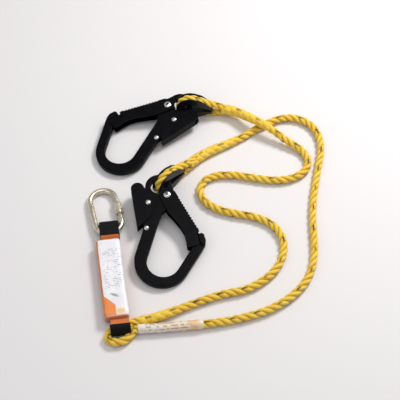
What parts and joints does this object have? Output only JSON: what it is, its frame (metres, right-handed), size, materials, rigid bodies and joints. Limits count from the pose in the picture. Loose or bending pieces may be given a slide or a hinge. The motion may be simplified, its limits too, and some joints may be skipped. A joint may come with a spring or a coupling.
{
  "type": "shock absorbing lanyard",
  "caption": "Fall arrest lanyard: a tear webbing energy absorber with an oval screw sleeve connector and twin rope legs, each ending in a large scaffold hook with a gate and lever.",
  "frame": {"origin": "on the floor, in the middle of the footprint of everything but the two free rope legs", "axes": "+Z up off the floor the lanyard lies on, +Y from the rope end of the energy absorber towards its connector end and the first hook, +X to the right seen from above with +Y up"},
  "size_m": [0.4444, 0.5236, 0.054],
  "materials": {
    "rope": "three-strand polyamide, yellow with a dark tracer",
    "rope_sleeve": "clear shrink sleeve over a white label",
    "thimble": "black moulded",
    "webbing": "orange woven",
    "cover": "white film",
    "label": "printed film",
    "guard": "black",
    "connector": "zinc plated, yellow passivated",
    "spring": "plain wire",
    "rivet": "plain",
    "hook": "black, half gloss"
  },
  "bodies": {
    "lanyard": {"rope_leg_a": "rope", "rope_leg_b": "rope", "rope_label_sleeve": "rope_sleeve", "rope_eye_absorber": "rope", "rope_eye_hook_1": "rope", "rope_eye_hook_2": "rope", "thimble_1": "thimble", "thimble_2": "thimble", "tear_webbing": "webbing", "cover": "cover", "pack_label": "label", "upper_loop": "webbing", "lower_loop": "webbing", "upper_guard": "guard", "lower_guard": "guard"},
    "connector": {"connector_body": "connector", "connector_rivet": "rivet"},
    "connector_gate": {"connector_gate": "connector", "catch_pin": "rivet", "connector_spring": "spring", "connector_plunger": "spring"},
    "screw_sleeve": {"screw_sleeve": "connector"},
    "hook_1": {"hook_1_frame": "hook", "hook_1_gate_rivet": "rivet", "hook_1_lever_rivet": "rivet", "hook_1_stop_rivet": "rivet", "hook_1_gate_spring": "spring", "hook_1_lever_spring": "spring"},
    "hook_1_gate": {"hook_1_gate": "hook"},
    "hook_1_lever": {"hook_1_lever": "hook"},
    "hook_2": {"hook_2_frame": "hook", "hook_2_gate_rivet": "rivet", "hook_2_lever_rivet": "rivet", "hook_2_stop_rivet": "rivet", "hook_2_gate_spring": "spring", "hook_2_lever_spring": "spring"},
    "hook_2_gate": {"hook_2_gate": "hook"},
    "hook_2_lever": {"hook_2_lever": "hook"}
  },
  "joints": [
    {"name": "connector_swing", "type": "hinge", "parent": "lanyard", "child": "connector", "pos_m": [-0.08675, -0.02037, 0.01081], "axis": [-0.0077, 0.0623, 0.998], "range_deg": [-20, 4]},
    {"name": "connector_gate_turn", "type": "hinge", "parent": "connector", "child": "connector_gate", "pos_m": [-0.06381, -0.01423, 0.0106], "axis": [-0.0077, 0.0623, 0.998], "range_deg": [0, 24], "stiffness_Nm_per_rad": 0.06, "springref_deg": -40.11},
    {"name": "screw_sleeve_travel", "type": "slide", "parent": "connector_gate", "child": "screw_sleeve", "axis": [-0.2586, 0.964, -0.0622], "range_m": [0, 0.011]},
    {"name": "hook_1_lift", "type": "hinge", "parent": "lanyard", "child": "hook_1", "pos_m": [0.0597, 0.2364, 0.02705], "axis": [0, 1, 0], "range_deg": [0, 85]},
    {"name": "hook_1_gate_turn", "type": "hinge", "parent": "hook_1", "child": "hook_1_gate", "pos_m": [0.01669, 0.23511, 0.0233], "axis": [-0.0852, -0.0512, 0.995], "range_deg": [0, 36], "stiffness_Nm_per_rad": 0.5, "springref_deg": -51.57},
    {"name": "hook_1_lever_press", "type": "hinge", "parent": "hook_1", "child": "hook_1_lever", "pos_m": [0.02978, 0.19981, 0.0226], "axis": [0.0852, 0.0512, -0.995], "range_deg": [0, 7], "stiffness_Nm_per_rad": 0.8, "springref_deg": -28.65},
    {"name": "hook_2_lift", "type": "hinge", "parent": "lanyard", "child": "hook_2", "pos_m": [0.0157, 0.0594, 0.02705], "axis": [-0.7431, 0.6691, 0], "range_deg": [0, 85]},
    {"name": "hook_2_gate_turn", "type": "hinge", "parent": "hook_2", "child": "hook_2_gate", "pos_m": [0.01867, 0.02763, 0.02381], "axis": [-0.0265, 0.0989, -0.9947], "range_deg": [0, 36], "stiffness_Nm_per_rad": 0.5, "springref_deg": -51.57},
    {"name": "hook_2_lever_press", "type": "hinge", "parent": "hook_2", "child": "hook_2_lever", "pos_m": [-0.01527, 0.01133, 0.0231], "axis": [0.0265, -0.0989, 0.9947], "range_deg": [0, 7], "stiffness_Nm_per_rad": 0.8, "springref_deg": -28.65}
  ]
}
